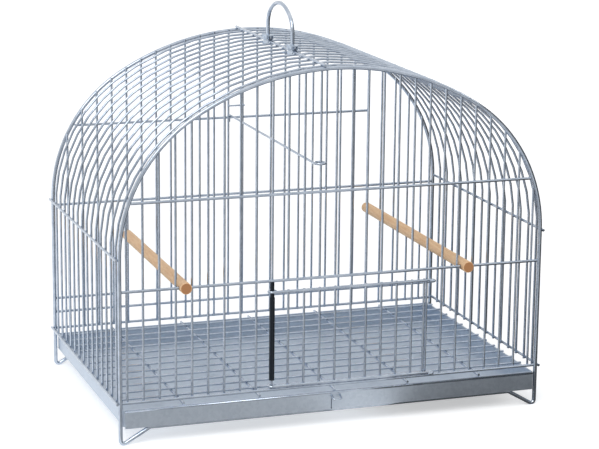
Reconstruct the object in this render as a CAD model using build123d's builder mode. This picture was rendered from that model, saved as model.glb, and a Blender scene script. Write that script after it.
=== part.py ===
from build123d import *
import os
from math import atan2, cos, degrees, radians, sin, sqrt, tan

# Barrel-roofed wire bird cage with a slide-out tray, a floor grille, a side-hung door and two perches.
# X is the width, -Y the front, +Z up, in millimetres.
# The origin is under the middle of the whole cage, on the surface that its feet stand on.

os.makedirs("parts", exist_ok=True)

# Wire diameters
frame_wire = 3.5
rail_wire = 2.4
bar_wire = 2.0
handle_wire = 3.5
grille_cross_wire = 2.2
grille_long_wire = 1.8
pull_wire = 1.6
keeper_wire = 1.6

# Sides of a drawn wire: what repeats gets fewer faces, and the flats are a wire's diameter apart
wire_sides = 8
thin_wire_sides = 6

# Overall form, to wire centres
cage_width = 404.0
cage_depth = 260.0
spring_height = 169.5
haunch_radius = 145.0
crown_lift = 16.5

# Feet and the bars under the tray
foot_bend = 3.0
foot_flat = 0.25
foot_slope = 30.0
knee_bend = 5.0
under_bar_height = 15.0

# Bars and hoops
end_bar_gap = 7.0
front_bar_count = 27
rear_bar_count = 26
bar_tip = 1.6
hoop_count = 14
first_hoop_gap = 9.0
hoop_haunch_flats = 7
hoop_crown_flats = 9

# Heights of the rails
base_rail_height = 38.5
lintel_height = 140.5
front_upper_height = 219.5
rear_low_height = 55.0
rear_lower_height = 69.0
rear_middle_height = 164.0
rear_upper_height = 242.5
rear_upper_bar = 21

# Ridge rod, clips and carrying handle
ridge_offset = -13.0
front_clip_gap = 4
rear_clip_gap = 8
handle_height = 40.0
handle_arch_rise = 24.0
handle_haunch = 18.0
clip_length = 14.0
clip_width = 7.0
clip_height = 5.7
clip_skirt = 3.6
clip_sheet = 0.8
clip_crimp = 2.6
handle_hole_clearance = 0.15

# Door, counted in bars of the front
hinge_bar = 9
jamb_bar = 19
door_gap = 0.5
door_head_drop = 10.5
stile_inset = 3.0
door_overrun = 3.0
door_curl_bend = 2.4
door_curl_tail = 3.0
hinge_fit = 0.08
tube_diameter = 5.0
tube_neck_diameter = 4.0
tube_neck_length = 14.5
tube_foot_height = 47.0
tube_gap = 0.3
eye_turn = 270.0
eye_gap = 0.02

# Tray
tray_side_gap = 0.75
tray_lift = 0.3
tray_height = 15.4
tray_sheet = 0.8
tray_hem = 3.0
tray_corner = 2.0
tray_front_set_back = 0.7
tray_rear_set_back = 1.2
tray_slit = 1.0
tray_slit_height = 9.0
pull_width = 8.0
pull_reach = 9.0
pull_droop = 25.0
pull_bend = 1.6
pull_drop = 2.2
pull_root = 0.4

# Floor grille
grille_lift = 0.3
grille_side_gap = 3.0
grille_end_gap = 1.0
grille_long_count = 12
grille_cross_count = 5
grille_cross_pitch = 72.0

# Perches
perch_diameter = 10.5
perch_left_bar = 3
perch_right_bar = 21
perch_rise = 0.5
perch_overhang = 7.0
perch_rear_margin = 1.25
perch_left_skew = 1
perch_left_drop = 12.0
notch_side_play = 0.75
notch_top_play = 0.4
slot_play = 0.6
perch_chamfer = 0.5

# Hanger wire
hanger_bar = 12
hanger_eye_radius = 5.0
hanger_hook_bend = 2.5
hanger_hook_drop = 7.0
hanger_eye_turn = 295.0
hook_gap = 0.4
keeper_bar = 11
keeper_height = 255.0

# Worked-out sizes of the cage shell
frame_radius = frame_wire / 2
rail_radius = rail_wire / 2
bar_radius = bar_wire / 2
half_width = cage_width / 2
bar_pitch = (cage_width - 2 * end_bar_gap) / (front_bar_count - 1)
arch_rise = haunch_radius + crown_lift
pull_corner = radians(180 / wire_sides)
pull_tip = pull_wire / 2 / cos(pull_corner) * cos(radians(pull_droop) - pull_corner)
pull_out = pull_reach * cos(radians(pull_droop)) + pull_tip
front_overhang = frame_radius - tray_front_set_back - pull_root + pull_out
rear_overhang = rail_wire - frame_radius + hook_gap + bar_wire
depth_shift = (front_overhang - rear_overhang) / 2
front_plane = -cage_depth / 2 + depth_shift
rear_plane = cage_depth / 2 + depth_shift
crown_radius = ((half_width - haunch_radius) ** 2 + arch_rise**2 - haunch_radius**2) / (
    2 * (arch_rise - haunch_radius)
)
crown_centre = spring_height + arch_rise - crown_radius
haunch_centre = half_width - haunch_radius
haunch_turn = degrees(atan2(spring_height - crown_centre, haunch_centre))
haunch_top = spring_height + haunch_radius * (spring_height - crown_centre) / (crown_radius - haunch_radius)

# Planes of the bars and rails: the bars lie inside the arch wires and the rails outside the bars
front_bar_plane = front_plane + frame_radius + bar_radius
front_rail_plane = front_bar_plane - bar_radius - rail_radius
rear_bar_plane = rear_plane - frame_radius - bar_radius
rear_rail_plane = rear_bar_plane + bar_radius + rail_radius
rod_offset = frame_radius + rail_radius
hoop_offset = frame_radius - bar_radius
rod_start = front_plane - frame_radius
rod_length = cage_depth + frame_wire
ridge_height = crown_centre + sqrt((crown_radius + rod_offset) ** 2 - ridge_offset**2)


def arch_height(x, outward=0.0):
    """Height of the arch over x, on a line that lies outward of the wire's centre."""
    if abs(x) < crown_radius * haunch_centre / (crown_radius - haunch_radius):
        return crown_centre + sqrt((crown_radius + outward) ** 2 - x**2)
    return spring_height + sqrt((haunch_radius + outward) ** 2 - (abs(x) - haunch_centre) ** 2)


def arch_half_width(z, outward=0.0):
    """Half the width of the arch at height z, on a line that lies outward of the wire's centre."""
    if z <= spring_height:
        return half_width + outward
    if z < haunch_top:
        return haunch_centre + sqrt((haunch_radius + outward) ** 2 - (z - spring_height) ** 2)
    return sqrt((crown_radius + outward) ** 2 - (z - crown_centre) ** 2)


def front_bar_x(index):
    """Place of a front bar, counted from the left."""
    return (index - (front_bar_count - 1) / 2) * bar_pitch


def rear_bar_x(index):
    """Place of a rear bar, counted from the left: they stand half a pitch off the front ones."""
    return (index - (rear_bar_count - 1) / 2) * bar_pitch


def across(y):
    """Upright plane across the cage at depth y, seen from the front."""
    return Plane.XZ.offset(-y)


def save(piece, name, place=Location()):
    """Label a finished piece and write it, moved to its place."""
    placed = place * piece.part
    placed.label = name
    export_step(placed, f"parts/{name}.step")


def wire_section(diameter, sides=wire_sides, turn=0):
    """Section of a drawn wire: a flat faces the sketch's x, or its y after a turn of 90."""
    RegularPolygon(diameter / 2, sides, major_radius=False, rotation=180 / sides + turn)


def sweep_wire(line, diameter, sides=wire_sides, turn=0, corners=Transition.TRANSFORMED):
    """Sweep a wire along the line that was just drawn."""
    path = line.wires()[0]
    with BuildSketch(Plane(origin=path @ 0, z_dir=path % 0)) as section:
        wire_section(diameter, sides, turn)
    sweep(sections=section.sketch, path=path, transition=corners)


# Arch frames: one closed wire each, with the posts, the feet and the bar under the tray
corner_drop = foot_bend / tan(radians((90 - foot_slope) / 2)) - foot_bend
foot_corner = frame_radius - foot_flat - corner_drop
knee_x = half_width - (under_bar_height - foot_corner) / tan(radians(foot_slope))


def arch_frame(y, name):
    """Closed loop of frame wire in the upright plane at depth y."""
    with BuildPart() as frame:
        with BuildLine(across(y)) as loop:
            for side in (1, -1):
                FilletPolyline(
                    (0, under_bar_height),
                    (side * knee_x, under_bar_height),
                    (side * half_width, foot_corner),
                    (side * half_width, spring_height),
                    radius=[knee_bend, foot_bend],
                )
            CenterArc((haunch_centre, spring_height), haunch_radius, 0, haunch_turn)
            CenterArc((0, crown_centre), crown_radius, haunch_turn, 180 - 2 * haunch_turn)
            CenterArc((-haunch_centre, spring_height), haunch_radius, 180 - haunch_turn, haunch_turn)
        sweep_wire(loop, frame_wire)
        with Locations((0, y, 0)):
            Box(2 * cage_width, 4 * frame_wire, 2 * frame_wire,
                align=(Align.CENTER, Align.CENTER, Align.MAX), mode=Mode.SUBTRACT)
    save(frame, name)
    return frame


front_arch_frame = arch_frame(front_plane, "front_arch_frame")
rear_arch_frame = arch_frame(rear_plane, "rear_arch_frame")

# Roof hoops: bent wires between the arches, flush with their outer side, down to the base rods
# They repeat, so each bend is made of short flats that touch the true arc, to within half a millimetre
hoop_pitch = (cage_depth - first_hoop_gap) / hoop_count
hoop_foot = base_rail_height - rail_radius
hoop_planes = [front_plane + first_hoop_gap + number * hoop_pitch for number in range(hoop_count)]
haunch_step = radians(haunch_turn / hoop_haunch_flats)
crown_step = radians((180 - 2 * haunch_turn) / hoop_crown_flats)
haunch_reach = (haunch_radius + hoop_offset) / cos(haunch_step / 2)
crown_reach = (crown_radius + hoop_offset) / cos(crown_step / 2)
hoop_corners = [(half_width + hoop_offset, hoop_foot)]
for number in range(hoop_haunch_flats):
    bend = (number + 0.5) * haunch_step
    hoop_corners.append((haunch_centre + haunch_reach * cos(bend), spring_height + haunch_reach * sin(bend)))
for number in range(hoop_crown_flats):
    bend = radians(haunch_turn) + (number + 0.5) * crown_step
    hoop_corners.append((crown_reach * cos(bend), crown_centre + crown_reach * sin(bend)))
hoop_corners += [(-x, z) for x, z in reversed(hoop_corners[:hoop_haunch_flats + 1])]
with BuildPart() as roof_hoops:
    for hoop_plane in hoop_planes:
        with BuildLine(across(hoop_plane)) as hoop_line:
            Polyline(*hoop_corners)
        sweep_wire(hoop_line, bar_wire, thin_wire_sides, 0, Transition.RIGHT)
save(roof_hoops, "roof_hoops")

# Rods along the cage, welded on the outside of the arches and hoops
rod_places = {
    "ridge_rod": (ridge_offset, ridge_height),
    "left_spring_rod": (-half_width - rod_offset, spring_height),
    "right_spring_rod": (half_width + rod_offset, spring_height),
    "left_base_rod": (-half_width - rod_offset, base_rail_height),
    "right_base_rod": (half_width + rod_offset, base_rail_height),
}
for rod_name, (rod_x, rod_z) in rod_places.items():
    with BuildPart() as rod:
        with BuildSketch(across(rod_start)):
            with Locations((rod_x, rod_z)):
                wire_section(rail_wire)
        extrude(amount=-rod_length)
    save(rod, rod_name)


# Upright bars: each runs from its lowest rail to just over the arch wire that it is welded to
# The hinge bar is round, because the door turns on it
hinge_x = front_bar_x(hinge_bar)


def bar_group(name, places, y, foot):
    """Group of upright bars at one depth."""
    with BuildPart() as bars:
        for x in places:
            with BuildSketch(Plane.XY.offset(foot)):
                with Locations((x, y)):
                    if x == hinge_x:
                        Circle(bar_radius)
                    else:
                        wire_section(bar_wire, thin_wire_sides, 90)
            extrude(amount=arch_height(x) + bar_tip - foot)
    save(bars, name)
    return bars


bar_foot = base_rail_height - rail_radius / 2
left_places = [front_bar_x(index) for index in range(0, hinge_bar + 1)]
door_places = [front_bar_x(index) for index in range(hinge_bar + 1, jamb_bar)]
right_places = [front_bar_x(index) for index in range(jamb_bar, front_bar_count)]
rear_places = [rear_bar_x(index) for index in range(rear_bar_count)]
front_bars_left = bar_group("front_bars_left", left_places, front_bar_plane, bar_foot)
front_bars_right = bar_group("front_bars_right", right_places, front_bar_plane, bar_foot)
front_bars_upper = bar_group("front_bars_upper", door_places, front_bar_plane, lintel_height - rail_radius)
rear_bars = bar_group("rear_bars", rear_places, rear_bar_plane, bar_foot)


# Rails across the cage, between the arch wires
def rail(name, y, height, right_end=None):
    """Straight rail at depth y; it runs to the arch wire at both sides unless a right end is given."""
    reach = arch_half_width(height + rail_radius, -frame_radius)
    end = reach if right_end is None else right_end
    with BuildPart() as piece:
        with BuildSketch(Plane.YZ.offset(-reach)):
            with Locations((y, height)):
                wire_section(rail_wire)
        extrude(amount=reach + end)
    save(piece, name)
    return piece


front_base_rail = rail("front_base_rail", front_rail_plane, base_rail_height)
front_lintel_rail = rail("front_lintel_rail", front_rail_plane, lintel_height)
front_upper_rail = rail("front_upper_rail", front_rail_plane, front_upper_height)
rear_base_rail = rail("rear_base_rail", rear_rail_plane, base_rail_height)
rear_low_rail = rail("rear_low_rail", rear_rail_plane, rear_low_height)
rear_lower_rail = rail("rear_lower_rail", rear_rail_plane, rear_lower_height)
rear_middle_rail = rail("rear_middle_rail", rear_rail_plane, rear_middle_height)
rear_upper_end = rear_bar_x(rear_upper_bar) + bar_wire
rear_upper_rail = rail("rear_upper_rail", rear_rail_plane, rear_upper_height, rear_upper_end)

# Door: two rails that end in an eye at the hinge and a finger curl at the jamb, bars and the hinge tube
jamb_x = front_bar_x(jamb_bar)
door_base_height = base_rail_height + rail_wire + door_gap
door_top_height = lintel_height - door_head_drop
door_height = door_top_height - door_base_height
eye_radius = tube_neck_diameter / 2 + rail_radius + eye_gap
door_rail_plane = front_bar_plane - eye_radius
door_bar_plane = door_rail_plane + rail_radius + bar_radius
curl_x = jamb_x + door_overrun


def door_rail(name, height):
    """Door rail from the hinge eye to the finger curl, bent from one wire."""
    with BuildPart() as piece:
        with BuildLine(Plane.XY.offset(height)) as bend:
            CenterArc((hinge_x, front_bar_plane), eye_radius, 0, eye_turn)
            Line((hinge_x, door_rail_plane), (curl_x, door_rail_plane))
            CenterArc((curl_x, door_rail_plane - door_curl_bend), door_curl_bend, 90, -180)
            Line((curl_x, door_rail_plane - 2 * door_curl_bend),
                 (curl_x - door_curl_tail, door_rail_plane - 2 * door_curl_bend))
        sweep_wire(bend, rail_wire)
    save(piece, name)
    return piece


door_base_rail = door_rail("door_base_rail", door_base_height)
door_top_rail = door_rail("door_top_rail", door_top_height)

door_bar_places = door_places + [jamb_x - stile_inset]
with BuildPart() as door_bars:
    with BuildSketch(Plane.XY.offset(door_base_height - rail_radius)):
        with Locations([(x, door_bar_plane) for x in door_bar_places]):
            wire_section(bar_wire, thin_wire_sides, 90)
    extrude(amount=door_height + rail_wire)
save(door_bars, "door_bars")

tube_top = lintel_height - rail_radius - tube_gap
tube_bore = bar_wire + 2 * hinge_fit
with BuildPart() as door_hinge_tube:
    with BuildSketch(Plane.XY.offset(tube_foot_height)):
        with Locations((hinge_x, front_bar_plane)):
            Circle(tube_diameter / 2)
            Circle(tube_bore / 2, mode=Mode.SUBTRACT)
    extrude(amount=tube_top - tube_neck_length - tube_foot_height)
    with BuildSketch(Plane.XY.offset(tube_top - tube_neck_length)):
        with Locations((hinge_x, front_bar_plane)):
            Circle(tube_neck_diameter / 2)
            Circle(tube_bore / 2, mode=Mode.SUBTRACT)
    extrude(amount=tube_neck_length)
save(door_hinge_tube, "door_hinge_tube")

# Tray: a folded sheet pan with a hemmed rim, a slit in its front and a wire pull
tray_width = cage_width - frame_wire - 2 * tray_side_gap
tray_front = front_plane - frame_radius + tray_front_set_back
tray_rear = rear_plane + frame_radius - tray_rear_set_back
tray_depth = tray_rear - tray_front
tray_middle = (tray_front + tray_rear) / 2
tray_base = under_bar_height + frame_radius + tray_lift
tray_top = tray_base + tray_height
pull_x = 0.0
slit_x = pull_x - pull_width / 2
with BuildPart() as tray:
    with BuildSketch(Plane.XY.offset(tray_base)):
        with Locations((0, tray_middle)):
            RectangleRounded(tray_width, tray_depth, tray_corner)
    extrude(amount=tray_height)
    with BuildSketch(Plane.XY.offset(tray_base + tray_sheet)):
        with Locations((0, tray_middle)):
            RectangleRounded(
                tray_width - 2 * tray_sheet,
                tray_depth - 2 * tray_sheet,
                tray_corner - tray_sheet,
            )
    extrude(amount=tray_height - tray_sheet - tray_hem, mode=Mode.SUBTRACT)
    with BuildSketch(Plane.XY.offset(tray_top - tray_hem)):
        with Locations((0, tray_middle)):
            Rectangle(tray_width - 4 * tray_sheet, tray_depth - 4 * tray_sheet)
    extrude(amount=tray_hem, mode=Mode.SUBTRACT)
    with BuildSketch(across(tray_front)):
        with Locations((slit_x, tray_base + tray_sheet)):
            Rectangle(tray_slit, tray_slit_height, align=(Align.CENTER, Align.MIN))
    extrude(amount=-tray_sheet, mode=Mode.SUBTRACT)
save(tray, "tray")

# The pull is a bail of thin wire, rooted in the front wall under the rim
pull_height = tray_top - pull_drop
pull_start = tray_front + pull_root
pull_base = Plane(origin=(pull_x, pull_start, pull_height), x_dir=(1, 0, 0), z_dir=(0, 0, 1))
pull_plane = pull_base.rotated((pull_droop, 0, 0))
with BuildPart() as tray_pull:
    with BuildLine(pull_plane) as bail:
        FilletPolyline(
            (-pull_width / 2, 0),
            (-pull_width / 2, -pull_reach),
            (pull_width / 2, -pull_reach),
            (pull_width / 2, 0),
            radius=pull_bend,
        )
    sweep_wire(bail, pull_wire)
    with Locations((pull_x, tray_front, pull_height)):
        Box(2 * pull_width, 4 * pull_wire, 4 * pull_wire, align=(Align.CENTER, Align.MIN, Align.CENTER),
            mode=Mode.SUBTRACT)
save(tray_pull, "tray_pull")

# Floor grille: cross wires along the cage's depth with long wires welded over them
grille_half = tray_width / 2 - grille_side_gap
grille_front = tray_front + grille_end_gap
grille_rear = tray_rear - grille_end_gap
cross_height = tray_top + grille_lift + grille_cross_wire / 2
long_height = cross_height + grille_cross_wire / 2 + grille_long_wire / 2
long_pitch = (grille_rear - grille_front) / (grille_long_count + 1)
with BuildPart() as floor_cross_wires:
    with BuildSketch(across(grille_front)):
        with Locations((0, cross_height)):
            with GridLocations(grille_cross_pitch, 1, grille_cross_count, 1):
                wire_section(grille_cross_wire, thin_wire_sides, 90)
    extrude(amount=-(grille_rear - grille_front))
save(floor_cross_wires, "floor_cross_wires")

with BuildPart() as floor_long_wires:
    with BuildSketch(Plane.YZ.offset(-grille_half)):
        for number in range(grille_long_count):
            with Locations((grille_front + (number + 1) * long_pitch, long_height)):
                wire_section(grille_long_wire, thin_wire_sides, 90)
    extrude(amount=2 * grille_half)
save(floor_long_wires, "floor_long_wires")

# Perches: dowels with a notch that drops over the lintel rail and a slot that grips a rear bar
# The left one is set askew, as photographed: its slot is on the next bar and it dips to the rear
perch_axis = lintel_height + perch_rise
perch_front = front_plane - perch_overhang
perch_rear = rear_bar_plane + perch_rear_margin
perch_run = rear_bar_plane - front_rail_plane
notch_top = rail_radius + notch_top_play - perch_rise
slot_depth = perch_rear_margin + bar_radius + slot_play
for perch_name, perch_bar, skew, drop in (
    ("left_perch", perch_left_bar, perch_left_skew, perch_left_drop),
    ("right_perch", perch_right_bar, 0, 0),
):
    seat = Location((rear_bar_x(perch_bar), front_rail_plane, perch_axis))
    turn = Rotation(-degrees(atan2(drop, perch_run)), 0, -degrees(atan2(skew * bar_pitch, perch_run)))
    stretch = sqrt(perch_run**2 + (skew * bar_pitch) ** 2 + drop**2) - perch_run
    with BuildPart() as perch:
        with BuildSketch(across(perch_front - front_rail_plane)):
            Circle(perch_diameter / 2)
        extrude(amount=-(perch_rear + stretch - perch_front))
        chamfer(perch.edges().filter_by(GeomType.CIRCLE), perch_chamfer)
        with Locations((0, 0, notch_top)):
            Box(2 * perch_diameter, rail_wire + 2 * notch_side_play, perch_diameter,
                align=(Align.CENTER, Align.CENTER, Align.MAX), mode=Mode.SUBTRACT)
        with Locations((0, perch_rear + stretch - front_rail_plane, 0)):
            Box(bar_wire + 2 * slot_play, slot_depth, 2 * perch_diameter,
                align=(Align.CENTER, Align.MAX, Align.CENTER), mode=Mode.SUBTRACT)
    save(perch, perch_name, seat * turn)

# Hanger wire: an eye round a front bar, a straight run to the rear and a hook over the rear upper rail
hanger_x = front_bar_x(hanger_bar) - hanger_eye_radius
hanger_height = rear_upper_height + rail_radius + bar_radius
eye_centre = front_bar_plane - bar_wire + hanger_eye_radius
hook_end = rear_rail_plane + rail_radius + bar_radius + hook_gap
with BuildPart() as hanger_wire:
    with BuildLine() as hanger_line:
        FilletPolyline(
            (hanger_x, hook_end, hanger_height - hanger_hook_drop),
            (hanger_x, hook_end, hanger_height),
            (hanger_x, eye_centre, hanger_height),
            radius=hanger_hook_bend,
        )
        CenterArc(
            (front_bar_x(hanger_bar), eye_centre, hanger_height),
            hanger_eye_radius,
            180,
            hanger_eye_turn,
        )
    sweep_wire(hanger_line, bar_wire, thin_wire_sides, 90)
save(hanger_wire, "hanger_wire")

# Keeper: a short wire across two rear bars above the hanger's hook
with BuildPart() as keeper_wire_piece:
    with BuildSketch(Plane.YZ.offset(rear_bar_x(keeper_bar) - keeper_wire)):
        with Locations((rear_bar_plane - bar_radius - keeper_wire / 2, keeper_height)):
            wire_section(keeper_wire, thin_wire_sides)
    extrude(amount=bar_pitch + 2 * keeper_wire)
save(keeper_wire_piece, "hanger_keeper")

# Carrying handle: one bent wire whose legs stand on the ridge rod, inside the clips, midway between hoops
handle_foot = ridge_height + rail_radius
handle_top = ridge_height + handle_height
handle_spring = handle_top - handle_arch_rise
front_clip_y = (hoop_planes[front_clip_gap] + hoop_planes[front_clip_gap + 1]) / 2
rear_clip_y = (hoop_planes[rear_clip_gap] + hoop_planes[rear_clip_gap + 1]) / 2
handle_middle = (front_clip_y + rear_clip_y) / 2
half_span = (rear_clip_y - front_clip_y) / 2
grip_radius = ((half_span - handle_haunch) ** 2 + handle_arch_rise**2 - handle_haunch**2) / (
    2 * (handle_arch_rise - handle_haunch)
)
grip_centre = handle_top - grip_radius
handle_turn = degrees(atan2(handle_spring - grip_centre, half_span - handle_haunch))
with BuildPart() as carry_handle:
    with BuildLine(Plane.YZ.offset(ridge_offset)) as handle_line:
        Line((handle_middle + half_span, handle_foot), (handle_middle + half_span, handle_spring))
        CenterArc((handle_middle + half_span - handle_haunch, handle_spring), handle_haunch, 0, handle_turn)
        CenterArc((handle_middle, grip_centre), grip_radius, handle_turn, 180 - 2 * handle_turn)
        CenterArc((handle_middle - half_span + handle_haunch, handle_spring), handle_haunch,
                  180 - handle_turn, handle_turn)
        Line((handle_middle - half_span, handle_spring), (handle_middle - half_span, handle_foot))
    sweep_wire(handle_line, handle_wire)
save(carry_handle, "carry_handle")

# Handle clips: folded saddles whose cheeks are crimped onto the ridge rod
clip_top = ridge_height + clip_height
clip_foot = ridge_height - clip_skirt
clip_half = clip_width / 2
for clip_name, clip_y in (
    ("handle_clip_front", front_clip_y),
    ("handle_clip_rear", rear_clip_y),
):
    with BuildPart() as clip:
        with BuildSketch(across(clip_y - clip_length / 2)):
            with BuildLine():
                Polyline(
                    (ridge_offset - clip_half, clip_foot),
                    (ridge_offset - rail_radius - clip_sheet, ridge_height),
                    (ridge_offset - clip_half, ridge_height + clip_crimp),
                    (ridge_offset - clip_half, clip_top),
                    (ridge_offset + clip_half, clip_top),
                    (ridge_offset + clip_half, ridge_height + clip_crimp),
                    (ridge_offset + rail_radius + clip_sheet, ridge_height),
                    (ridge_offset + clip_half, clip_foot),
                    (ridge_offset + clip_half - clip_sheet, clip_foot),
                    (ridge_offset + rail_radius, ridge_height),
                    (ridge_offset + clip_half - clip_sheet, ridge_height + clip_crimp),
                    (ridge_offset + clip_half - clip_sheet, clip_top - clip_sheet),
                    (ridge_offset - clip_half + clip_sheet, clip_top - clip_sheet),
                    (ridge_offset - clip_half + clip_sheet, ridge_height + clip_crimp),
                    (ridge_offset - rail_radius, ridge_height),
                    (ridge_offset - clip_half + clip_sheet, clip_foot),
                    close=True,
                )
            make_face()
        extrude(amount=-clip_length)
        with Locations(Plane.XY.offset(clip_top)):
            with Locations((ridge_offset, clip_y)):
                Hole(handle_wire / 2 + handle_hole_clearance, depth=clip_sheet)
    save(clip, clip_name)
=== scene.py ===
import math

import bpy
from mathutils import Matrix, Vector


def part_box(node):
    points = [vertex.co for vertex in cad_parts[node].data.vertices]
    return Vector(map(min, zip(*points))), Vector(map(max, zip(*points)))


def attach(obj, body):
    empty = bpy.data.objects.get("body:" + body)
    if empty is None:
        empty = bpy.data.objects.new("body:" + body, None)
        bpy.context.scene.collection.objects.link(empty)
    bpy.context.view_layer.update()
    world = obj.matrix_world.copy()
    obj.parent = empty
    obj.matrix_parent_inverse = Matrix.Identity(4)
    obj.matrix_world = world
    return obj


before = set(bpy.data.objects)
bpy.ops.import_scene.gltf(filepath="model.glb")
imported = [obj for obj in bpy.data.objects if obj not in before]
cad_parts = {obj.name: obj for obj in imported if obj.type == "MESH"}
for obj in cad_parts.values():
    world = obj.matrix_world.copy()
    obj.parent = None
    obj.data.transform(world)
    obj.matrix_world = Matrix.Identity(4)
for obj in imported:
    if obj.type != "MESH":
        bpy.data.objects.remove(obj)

print("stage: frame loaded")
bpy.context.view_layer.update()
scene = bpy.context.scene
scene.view_settings.view_transform = "Standard"


def linear(hexText):
    # an sRGB hex colour as the linear values that shader sockets take
    channels = [int(hexText[i:i + 2], 16) / 255 for i in (1, 3, 5)]
    return [c / 12.92 if c <= 0.04045 else ((c + 0.055) / 1.055) ** 2.4 for c in channels] + [1.0]


def grey(value):
    return [value, value, value, 1.0]


def addNode(tree, kind, settings=None, links=None):
    # a node with its settings; links maps an input's name or number to a value or an output
    node = tree.nodes.new(kind)
    for name, value in (settings or {}).items():
        setattr(node, name, value)
    for name, value in (links or {}).items():
        if isinstance(value, bpy.types.NodeSocket):
            tree.links.new(value, node.inputs[name])
        else:
            node.inputs[name].default_value = value
    return node


def newMaterial(name):
    material = bpy.data.materials.new(name)
    material.use_nodes = True
    material.node_tree.nodes.clear()
    return material, material.node_tree


def finishSurface(tree, inputs):
    # one principled shader with these inputs is the whole surface
    shader = addNode(tree, "ShaderNodeBsdfPrincipled", links=inputs)
    addNode(tree, "ShaderNodeOutputMaterial", links={"Surface": shader.outputs["BSDF"]})


def coordinates(tree, kind):
    return addNode(tree, "ShaderNodeTexCoord").outputs[kind]


def ramp(tree, source, low, high, span=(0.0, 1.0)):
    # runs from one colour to the other while the source crosses the span
    node = addNode(tree, "ShaderNodeValToRGB", links={"Fac": source})
    for element, place, colour in zip(node.color_ramp.elements, span, (low, high)):
        element.position = place
        element.color = colour
    return node.outputs["Color"]


def mixColours(tree, part, first, second):
    # a mix node's inputs 6 and 7 and its output 2 are its colours
    return addNode(tree, "ShaderNodeMix", {"data_type": "RGBA"}, {
        "Factor": part,
        6: first,
        7: second,
    }).outputs[2]


def meshObject(name, points, faces, material):
    mesh = bpy.data.meshes.new(name)
    mesh.from_pydata(points, [], faces)
    made = bpy.data.objects.new(name, mesh)
    scene.collection.objects.link(made)
    mesh.materials.append(material)
    return made


# zinc-plated drawn wire: bright, a little blue, with faint cloudy patches where the zinc is duller
galvanisedWire = {
    "dull": "#AAB5C4",
    "bright": "#C4CDD9",
    "patch": 0.009,  # size of a cloudy patch in metres
    "patchDetail": 3.0,
    "patchRough": 0.6,
    "patchSpan": (0.3, 0.7),
    "roughLow": 0.15,
    "roughHigh": 0.24,
}


def makeWireMaterial(settings):
    material, tree = newMaterial("zinc_plated_drawn_steel_wire")
    patches = addNode(tree, "ShaderNodeTexNoise", links={
        "Vector": coordinates(tree, "Object"),
        "Scale": 1 / settings["patch"],
        "Detail": settings["patchDetail"],
        "Roughness": settings["patchRough"],
    }).outputs["Fac"]
    dull, bright = linear(settings["dull"]), linear(settings["bright"])
    roughHigh, roughLow = grey(settings["roughHigh"]), grey(settings["roughLow"])
    finishSurface(tree, {
        "Base Color": ramp(tree, patches, dull, bright, settings["patchSpan"]),
        "Metallic": 1.0,
        "Roughness": ramp(tree, patches, roughHigh, roughLow, settings["patchSpan"]),
    })
    return material


# hot-dip galvanised sheet: matte bluish grey, almost even, with a very faint spangle
galvanisedSheet = {
    "dark": "#BFCAD7",
    "light": "#C9D3DF",
    "spangle": 0.0025,  # size of a zinc crystal in metres
    "roughLow": 0.4,
    "roughHigh": 0.46,
}


def makeSheetMaterial(settings):
    material, tree = newMaterial("hot_dip_galvanised_steel_sheet")
    crystals = addNode(tree, "ShaderNodeTexVoronoi", links={
        "Vector": coordinates(tree, "Object"),
        "Scale": 1 / settings["spangle"],
    }).outputs["Color"]
    shade = addNode(tree, "ShaderNodeSeparateColor", links={"Color": crystals}).outputs["Red"]
    roughLow, roughHigh = grey(settings["roughLow"]), grey(settings["roughHigh"])
    finishSurface(tree, {
        "Base Color": ramp(tree, shade, linear(settings["dark"]), linear(settings["light"])),
        "Metallic": 1.0,
        "Roughness": ramp(tree, shade, roughLow, roughHigh),
    })
    return material


# polished and blackened tube: dark, with sharper reflections than the wire
polishedTube = {
    "colour": "#33383F",
    "rough": 0.08,
}


def makeTubeMaterial(settings):
    material, tree = newMaterial("polished_black_chromed_steel_tube")
    finishSurface(tree, {
        "Base Color": linear(settings["colour"]),
        "Metallic": 1.0,
        "Roughness": settings["rough"],
    })
    return material


# turned beech dowel: pale pinkish tan, long soft grain with short dark pore flecks
beech = {
    "pale": "#F7D1A6",
    "deep": "#E9BB8C",
    "fleck": "#C0905F",
    "endGrain": "#B07A4C",
    "grainAcross": 0.0012,
    "grainAlong": 0.03,
    "grainDetail": 4.0,
    "grainSpan": (0.35, 0.65),
    "fleckAcross": 0.0005,
    "fleckAlong": 0.003,
    "fleckDetail": 2.0,
    "fleckSpan": (0.6, 0.72),
    "fleckStrength": 0.7,
    "sawnSpan": (0.85, 0.95),  # how squarely a face points along the dowel
    "rough": 0.55,
}


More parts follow.
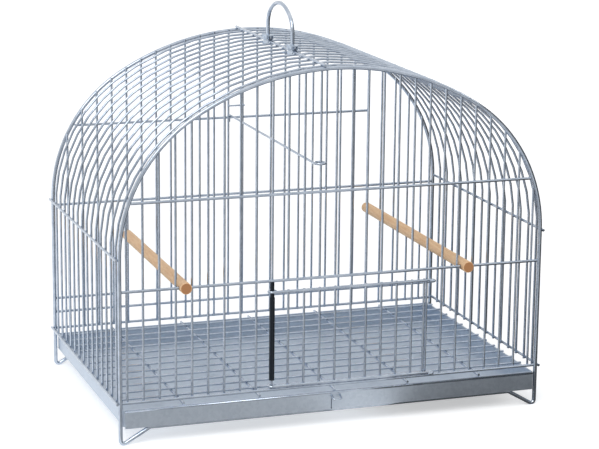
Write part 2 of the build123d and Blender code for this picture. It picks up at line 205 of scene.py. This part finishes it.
def makeBeechMaterial(settings):
    material, tree = newMaterial("turned_beech_dowel")
    place = coordinates(tree, "Object")

    def streaks(kind):
        # noise drawn out along the dowel
        across, along = settings[kind + "Across"], settings[kind + "Along"]
        stretched = addNode(tree, "ShaderNodeMapping", links={
            "Vector": place,
            "Scale": (1 / across, 1 / along, 1 / across),
        })
        return addNode(tree, "ShaderNodeTexNoise", links={
            "Vector": stretched.outputs["Vector"],
            "Scale": 1.0,
            "Detail": settings[kind + "Detail"],
        }).outputs["Fac"]

    deep, pale = linear(settings["deep"]), linear(settings["pale"])
    wood = ramp(tree, streaks("grain"), deep, pale, settings["grainSpan"])
    most = grey(settings["fleckStrength"])
    fleckPart = ramp(tree, streaks("fleck"), grey(0.0), most, settings["fleckSpan"])
    flecked = mixColours(tree, fleckPart, wood, linear(settings["fleck"]))
    # the sawn ends face along the dowel, and show darker end grain
    facing = coordinates(tree, "Normal")
    along = addNode(tree, "ShaderNodeSeparateXYZ", links={"Vector": facing}).outputs["Y"]
    size = addNode(tree, "ShaderNodeMath", {"operation": "ABSOLUTE"}, {0: along}).outputs[0]
    sawnPart = ramp(tree, size, grey(0.0), grey(1.0), settings["sawnSpan"])
    finishSurface(tree, {
        "Base Color": mixColours(tree, sawnPart, flecked, linear(settings["endGrain"])),
        "Roughness": settings["rough"],
    })
    return material


wireMaterial = makeWireMaterial(galvanisedWire)
sheetMaterial = makeSheetMaterial(galvanisedSheet)
tubeMaterial = makeTubeMaterial(polishedTube)
beechMaterial = makeBeechMaterial(beech)
print("stage: materials made")

# every node that isn't named here is drawn wire
nodeMaterials = {
    "tray": sheetMaterial,
    "handle_clip_front": sheetMaterial,
    "handle_clip_rear": sheetMaterial,
    "door_hinge_tube": tubeMaterial,
    "left_perch": beechMaterial,
    "right_perch": beechMaterial,
}
for name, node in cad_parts.items():
    node.data.materials.clear()
    node.data.materials.append(nodeMaterials.get(name, wireMaterial))
print("stage: materials on", len(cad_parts), "nodes")

# the solids' wires have flats: the shading runs smoothly round them, and cut ends stay crisp
wireShading = {
    "weld": 0.000001,
    "sharpAngle": 70.0,
}


def makeWireShading(settings):
    tree = bpy.data.node_groups.new("round_shading_of_drawn_wire", "GeometryNodeTree")
    tree.is_modifier = True
    for way in ("INPUT", "OUTPUT"):
        tree.interface.new_socket("Geometry", in_out=way, socket_type="NodeSocketGeometry")

    def through(kind, geometry, options=None, inputs=None):
        # what comes out when the geometry goes through one more node
        return addNode(tree, kind, options, {"Geometry": geometry, **(inputs or {})}).outputs[0]

    bare = through("GeometryNodeRemoveAttribute", addNode(tree, "NodeGroupInput").outputs[0],
                   inputs={"Name": "custom_normal"})
    welded = through("GeometryNodeMergeByDistance", bare, inputs={"Distance": settings["weld"]})
    faces = through("GeometryNodeSetShadeSmooth", welded, {"domain": "FACE"})
    edges = through("GeometryNodeSetShadeSmooth", faces, {"domain": "EDGE"})
    turn = addNode(tree, "GeometryNodeInputMeshEdgeAngle").outputs["Unsigned Angle"]
    greater = {"data_type": "FLOAT", "operation": "GREATER_THAN"}
    sharp = addNode(tree, "FunctionNodeCompare", greater, {
        0: turn,
        1: math.radians(settings["sharpAngle"]),
    }).outputs[0]
    crisp = through("GeometryNodeSetShadeSmooth", edges, {"domain": "EDGE"}, {
        "Selection": sharp,
        "Shade Smooth": False,
    })
    addNode(tree, "NodeGroupOutput", links={0: crisp})
    return tree


roundShading = makeWireShading(wireShading)
for name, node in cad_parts.items():
    if name not in nodeMaterials:
        node.modifiers.new("round_shading", "NODES").node_group = roundShading
print("stage: wires shaded round")

# front of the tray: the folded face hangs in front of the bar under the tray, under a rolled rim
trayFront = {
    "halfWidth": 0.1984,
    "face": -0.1296,  # depth of the face's outer side
    "sheet": 0.0008,
    "foot": 0.0157,
    "rimRadius": 0.0011,
    "rimSides": 16,
    "slit": -0.004,
    "slitWidth": 0.001,
    "slitHeight": 0.0102,
}


def makeTrayFront(settings):
    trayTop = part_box("tray")[1][2]
    half, foot = settings["halfWidth"], settings["foot"]
    radius, sides = settings["rimRadius"], settings["rimSides"]
    rim = trayTop - radius
    left = settings["slit"] - settings["slitWidth"] / 2
    right = settings["slit"] + settings["slitWidth"] / 2
    slitTop = foot + settings["slitHeight"]
    outline = [(-half, foot), (left, foot), (left, slitTop), (right, slitTop),
               (right, foot), (half, foot), (half, rim), (-half, rim)]
    count = len(outline)
    outer = settings["face"]
    inner = outer + settings["sheet"]
    points = [(x, y, z) for y in (outer, inner) for x, z in outline]
    faces = [tuple(range(count)), tuple(reversed(range(count, 2 * count)))]
    faces += [(k, k + count, (k + 1) % count + count, (k + 1) % count) for k in range(count)]
    panel = meshObject("tray_front_face", points, faces, sheetMaterial)

    turns = [math.tau * k / sides for k in range(sides)]
    ring = [(inner + radius * math.cos(a), rim + radius * math.sin(a)) for a in turns]
    points = [(x, y, z) for x in (-half, half) for y, z in ring]
    faces = [(k, (k + 1) % sides, (k + 1) % sides + sides, k + sides) for k in range(sides)]
    faces += [tuple(reversed(range(sides))), tuple(range(sides, 2 * sides))]
    rolled = meshObject("tray_front_rim", points, faces, wireMaterial)
    for face in rolled.data.polygons[:sides]:
        face.use_smooth = True

    for piece, slot in ((panel, "galvanised_sheet"), (rolled, "galvanised_wire")):
        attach(piece, "tray")


makeTrayFront(trayFront)
print("stage: tray front made")


def seenDirectly(tree):
    # 1 for camera, glossy and transmission rays, else 0
    light = addNode(tree, "ShaderNodeLightPath")
    seen = light.outputs["Is Camera Ray"]
    for kind in ("Is Glossy Ray", "Is Transmission Ray"):
        seen = addNode(tree, "ShaderNodeMath", {"operation": "MAXIMUM"}, {
            0: seen,
            1: light.outputs[kind],
        }).outputs[0]
    return seen


# pale studio floor: its own light for the camera lifts it to white and its shadow stays
floorSettings = {
    "size": 16.0,
    "colour": "#F2F2F2",
    "rough": 0.9,
    "liftNear": 0.45,
    "liftFar": 0.7,
    "nearRadius": 0.5,
    "farRadius": 2.5,
}


def makeFloor(settings):
    material, tree = newMaterial("matte_white_studio_paper")
    distance = addNode(tree, "ShaderNodeVectorMath", {"operation": "LENGTH"}, {
        0: coordinates(tree, "Object"),
    })
    lift = addNode(tree, "ShaderNodeMapRange", {"interpolation_type": "SMOOTHSTEP"}, {
        "Value": distance.outputs["Value"],
        "From Min": settings["nearRadius"],
        "From Max": settings["farRadius"],
        "To Min": settings["liftNear"],
        "To Max": settings["liftFar"],
    })
    strength = addNode(tree, "ShaderNodeMath", {"operation": "MULTIPLY"}, {
        0: seenDirectly(tree),
        1: lift.outputs[0],
    })
    finishSurface(tree, {
        "Base Color": linear(settings["colour"]),
        "Roughness": settings["rough"],
        "Specular IOR Level": 0.0,
        "Emission Color": grey(1.0),
        "Emission Strength": strength.outputs[0],
    })
    half = settings["size"] / 2
    corners = [(-half, -half, 0), (half, -half, 0), (half, half, 0), (-half, half, 0)]
    floor = meshObject("studio_floor", corners, [(0, 1, 2, 3)], material)


# what the metal sees round the cage: grey cards that only reflections meet, as in a studio
# "from" and "to" are azimuths in degrees, 0 at the front and 90 at the right
cards = {
    "front_floor_card": {"colour": 0.5, "radius": 2.5, "from": -55.0, "to": 2.0},
    "middle_floor_card": {"colour": 0.9, "radius": 2.5, "from": 2.0, "to": 24.0},
    "right_floor_card": {"colour": 0.12, "radius": 2.5, "from": 24.0, "to": 145.0},
    "right_flag": {"colour": 0.12, "radius": 1.6, "height": 1.2, "from": 40.0, "to": 130.0},
    "front_flag": {"colour": 0.6, "radius": 2.4, "height": 1.4, "from": -70.0, "to": 30.0},
}
cardMake = {
    "steps": 48,
    "lift": 0.0005,  # a floor card's height above the floor
}


def makeCard(name, settings):
    # a flat sector on the floor, or an upright curved panel, between two azimuths
    material, tree = newMaterial("matte_grey_card_" + name)
    shader = addNode(tree, "ShaderNodeEmission", links={
        "Color": grey(settings["colour"]),
        "Strength": 1.0,
    })
    addNode(tree, "ShaderNodeOutputMaterial", links={"Surface": shader.outputs["Emission"]})
    steps, lift = cardMake["steps"], cardMake["lift"]
    radius, start = settings["radius"], settings["from"]
    turns = [math.radians(start + (settings["to"] - start) * k / steps) for k in range(steps + 1)]

    def arc(height):
        return [(radius * math.sin(a), -radius * math.cos(a), height) for a in turns]

    if "height" in settings:
        points = arc(0.0) + arc(settings["height"])
        faces = [(k, k + 1, k + steps + 2, k + steps + 1) for k in range(steps)]
    else:
        points = arc(lift) + [(0.0, 0.0, lift)]
        faces = [(k, k + 1, steps + 1) for k in range(steps)]
    card = meshObject(name, points, faces, material)
    card.visible_camera = False
    card.visible_diffuse = False
    card.visible_transmission = False
    card.visible_shadow = False


# surround: white for what is seen, and dimmer as fill light
worldSettings = {
    "fill": 0.55,
    "fillColour": "#F4F7FB",
}


def makeWorld(settings):
    world = bpy.data.worlds.new("white_studio")
    world.use_nodes = True
    scene.world = world
    tree = world.node_tree
    tree.nodes.clear()
    fill = addNode(tree, "ShaderNodeBackground", links={
        "Color": linear(settings["fillColour"]),
        "Strength": settings["fill"],
    })
    white = addNode(tree, "ShaderNodeBackground", links={"Color": grey(1.0), "Strength": 1.0})
    mixed = addNode(tree, "ShaderNodeMixShader", links={
        0: seenDirectly(tree),
        1: fill.outputs["Background"],
        2: white.outputs["Background"],
    })
    addNode(tree, "ShaderNodeOutputWorld", links={"Surface": mixed.outputs["Shader"]})


# lamps: one broad soft key from the upper left front, a weaker one from the right
lamps = {
    "key_lamp": {"place": (-1.5, -1.9, 2.4), "size": 2.2, "power": 44.0},
    "side_lamp": {"place": (2.4, -0.6, 1.4), "size": 1.2, "power": 12.0},
}
lampAim = Vector((0.0, 0.0, 0.15))


def makeLamp(name, settings):
    data = bpy.data.lights.new(name, "AREA")
    data.shape = "DISK"
    data.size = settings["size"]
    data.energy = settings["power"]
    lamp = bpy.data.objects.new(name, data)
    scene.collection.objects.link(lamp)
    lamp.location = settings["place"]
    lamp.rotation_mode = "QUATERNION"
    lamp.rotation_quaternion = (lampAim - lamp.location).to_track_quat("-Z", "Y")


makeFloor(floorSettings)
for name, settings in cards.items():
    makeCard(name, settings)
makeWorld(worldSettings)
for name, settings in lamps.items():
    makeLamp(name, settings)
print("stage: floor, surround and lamps made")

# camera: front left and above, as the picture was taken
cameraSettings = {
    "azimuth": -19.244,
    "elevation": 13.077,
    "roll": 0.568,
    "distance": 2.0414,
    "focalPixels": 2127.4,
    "frameWidth": 599.0,
    "sensor": 36.0,
    "clipNear": 0.05,
    "clipFar": 50.0,
    "target": (0.0086, 0.0, 0.1597),
}


def makeCamera(settings):
    azimuth = math.radians(settings["azimuth"])
    elevation = math.radians(settings["elevation"])
    roll = math.radians(settings["roll"])
    target = Vector(settings["target"])
    back = Vector((
        math.sin(azimuth) * math.cos(elevation),
        -math.cos(azimuth) * math.cos(elevation),
        math.sin(elevation),
    ))
    right = (-back).cross(Vector((0, 0, 1))).normalized()
    up = right.cross(-back)
    rolledRight = math.cos(roll) * right + math.sin(roll) * up
    rolledUp = -math.sin(roll) * right + math.cos(roll) * up
    data = bpy.data.cameras.new("product_camera")
    data.sensor_width = settings["sensor"]
    data.lens = settings["focalPixels"] / settings["frameWidth"] * settings["sensor"]
    data.clip_start = settings["clipNear"]
    data.clip_end = settings["clipFar"]
    camera = bpy.data.objects.new("product_camera", data)
    scene.collection.objects.link(camera)
    turn = Matrix((rolledRight, rolledUp, back)).transposed().to_4x4()
    camera.matrix_world = Matrix.Translation(target + settings["distance"] * back) @ turn
    scene.camera = camera


makeCamera(cameraSettings)
print("stage: camera made")
